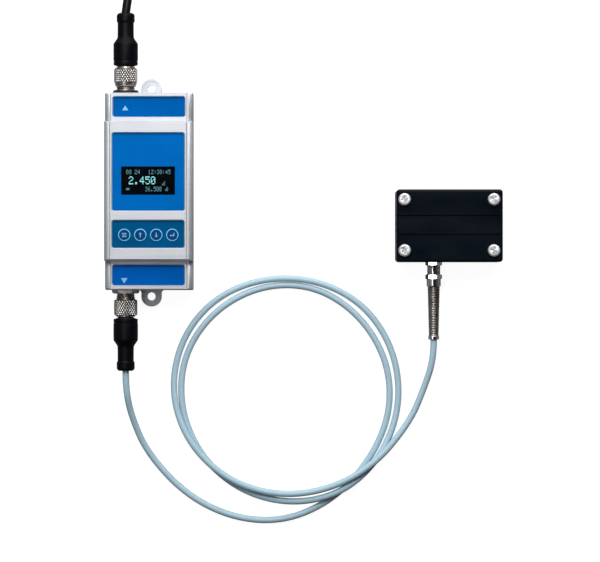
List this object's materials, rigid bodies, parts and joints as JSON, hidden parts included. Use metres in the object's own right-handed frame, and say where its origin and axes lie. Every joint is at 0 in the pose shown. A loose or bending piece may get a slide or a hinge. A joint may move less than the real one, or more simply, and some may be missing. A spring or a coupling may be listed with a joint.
{
  "type": "clamp-on ultrasonic flow meter",
  "caption": "Ultrasonic flow meter set: a narrow transmitter with display and keys, screw-on round connectors, and a two-half head that clamps round a small tube, joined by a looped cable.",
  "frame": {"origin": "centre of the transmitter's rear face, on the plane that the whole set lies on", "axes": "+Z out of the transmitter's display, +Y up the display towards the power connector, +X to the display's right, towards the sensor head"},
  "size_m": [0.242, 0.4206, 0.036],
  "materials": {
    "case_silver": "satin silver paint",
    "label_blue": "printed film, satin",
    "label_dark_blue": "printed film, satin",
    "key_blue": "printed film over a dome",
    "window_clear": "clear",
    "display_black": "glossy black",
    "board_green": "solder mask",
    "chip_black": "moulded",
    "steel_zinc": "zinc plated",
    "nickel": "nickel plated brass",
    "chrome": "polished",
    "gold": "gold plated",
    "connector_black": "moulded",
    "overmould_black": "soft moulding",
    "cable_black": "smooth jacket",
    "cable_grey_blue": "smooth matte jacket",
    "head_black": "black anodised",
    "wedge_amber": "machined polymer",
    "ceramic": "silvered ceramic",
    "wire": "insulated wire",
    "seal_rubber": "soft",
    "tie_black": "hook and loop"
  },
  "bodies": {
    "base": {"rear_cover": "case_silver", "rear_cover_screws": "steel_zinc", "main_housing": "case_silver", "top_end_cover": "case_silver", "bottom_end_cover": "case_silver", "top_label": "label_blue", "main_label": "label_blue", "key_label": "label_dark_blue", "bottom_label": "label_blue", "display_window": "window_clear", "display_module": "display_black", "display_board": "board_green", "key_switches": "chip_black", "main_board": "board_green", "board_spacers": "nickel", "board_screws": "steel_zinc", "board_link": "chip_black", "processor_chips": "chip_black", "power_converter": "chip_black", "capacitors": "chip_black", "board_connectors": "connector_black", "connector_leads": "wire", "power_socket": "nickel", "sensor_socket": "nickel", "socket_nuts": "nickel", "socket_inserts": "connector_black", "socket_pins": "gold", "power_plug": "overmould_black", "power_plug_insert": "connector_black", "sensor_plug": "overmould_black", "sensor_plug_insert": "connector_black", "sensor_cable": "cable_grey_blue", "sensor_cable_end": "cable_grey_blue", "power_cable": "cable_black", "power_cable_coil": "cable_black", "power_cable_cores": "wire", "coil_tie": "tie_black", "clamp_base": "head_black", "base_plate": "head_black", "base_plate_screws": "steel_zinc", "transducer_wedges": "wedge_amber", "transducer_crystals": "ceramic", "crystal_wires": "wire", "cable_gland": "nickel", "gland_nut": "nickel", "gland_seal": "seal_rubber", "bend_guard_spring": "nickel"},
    "key_menu": {"key_menu": "key_blue"},
    "key_up": {"key_up": "key_blue"},
    "key_down": {"key_down": "key_blue"},
    "key_enter": {"key_enter": "key_blue"},
    "power_nut_ring": {"power_nut_ring": "steel_zinc"},
    "power_nut": {"power_nut": "nickel"},
    "sensor_nut_ring": {"sensor_nut_ring": "steel_zinc"},
    "sensor_nut": {"sensor_nut": "nickel"},
    "clamp_cover": {"clamp_cover": "head_black"},
    "clamp_screw_1": {"clamp_screw_1": "chrome"},
    "clamp_screw_2": {"clamp_screw_2": "chrome"},
    "clamp_screw_3": {"clamp_screw_3": "chrome"},
    "clamp_screw_4": {"clamp_screw_4": "chrome"}
  },
  "joints": [
    {"name": "key_menu_press", "type": "slide", "parent": "base", "child": "key_menu", "axis": [0, 0, -1], "range_m": [0, 0.0004], "stiffness_N_per_m": 2000, "springref_m": -0.0001},
    {"name": "key_up_press", "type": "slide", "parent": "base", "child": "key_up", "axis": [0, 0, -1], "range_m": [0, 0.0004], "stiffness_N_per_m": 2000, "springref_m": -0.0001},
    {"name": "key_down_press", "type": "slide", "parent": "base", "child": "key_down", "axis": [0, 0, -1], "range_m": [0, 0.0004], "stiffness_N_per_m": 2000, "springref_m": -0.0001},
    {"name": "key_enter_press", "type": "slide", "parent": "base", "child": "key_enter", "axis": [0, 0, -1], "range_m": [0, 0.0004], "stiffness_N_per_m": 2000, "springref_m": -0.0001},
    {"name": "power_nut_travel", "type": "slide", "parent": "base", "child": "power_nut_ring", "axis": [0, 1, 0], "range_m": [0, 0.0006]},
    {"name": "power_nut_turn", "type": "hinge", "parent": "power_nut_ring", "child": "power_nut", "pos_m": [-0.015, 0.0705, 0.017], "axis": [0, 1, 0], "range_deg": [0, 215]},
    {"name": "sensor_nut_travel", "type": "slide", "parent": "base", "child": "sensor_nut_ring", "axis": [0, -1, 0], "range_m": [0, 0.0006]},
    {"name": "sensor_nut_turn", "type": "hinge", "parent": "sensor_nut_ring", "child": "sensor_nut", "pos_m": [-0.015, -0.0705, 0.017], "axis": [0, -1, 0], "range_deg": [0, 215]},
    {"name": "clamp_cover_lift", "type": "slide", "parent": "base", "child": "clamp_cover", "axis": [0, 0, 1], "range_m": [0, 0.0035]},
    {"name": "clamp_screw_1_turn", "type": "hinge", "parent": "clamp_cover", "child": "clamp_screw_1", "pos_m": [0.1552, -0.0049, 0.03], "axis": [0, 0, 1], "range_deg": [0, 1800.5]},
    {"name": "clamp_screw_2_turn", "type": "hinge", "parent": "clamp_cover", "child": "clamp_screw_2", "pos_m": [0.2094, -0.0049, 0.03], "axis": [0, 0, 1], "range_deg": [0, 1800.5]},
    {"name": "clamp_screw_3_turn", "type": "hinge", "parent": "clamp_cover", "child": "clamp_screw_3", "pos_m": [0.1552, -0.0359, 0.03], "axis": [0, 0, 1], "range_deg": [0, 1800.5]},
    {"name": "clamp_screw_4_turn", "type": "hinge", "parent": "clamp_cover", "child": "clamp_screw_4", "pos_m": [0.2094, -0.0359, 0.03], "axis": [0, 0, 1], "range_deg": [0, 1800.5]}
  ],
  "couplings": [
    {"joint": "power_nut_travel", "follows": "power_nut_turn", "m_per_rad": 0.00015915},
    {"joint": "sensor_nut_travel", "follows": "sensor_nut_turn", "m_per_rad": 0.00015915},
    {"joint": "clamp_screw_1_turn", "follows": "clamp_cover_lift", "rad_per_m": 8976},
    {"joint": "clamp_screw_2_turn", "follows": "clamp_cover_lift", "rad_per_m": 8976},
    {"joint": "clamp_screw_3_turn", "follows": "clamp_cover_lift", "rad_per_m": 8976},
    {"joint": "clamp_screw_4_turn", "follows": "clamp_cover_lift", "rad_per_m": 8976}
  ]
}
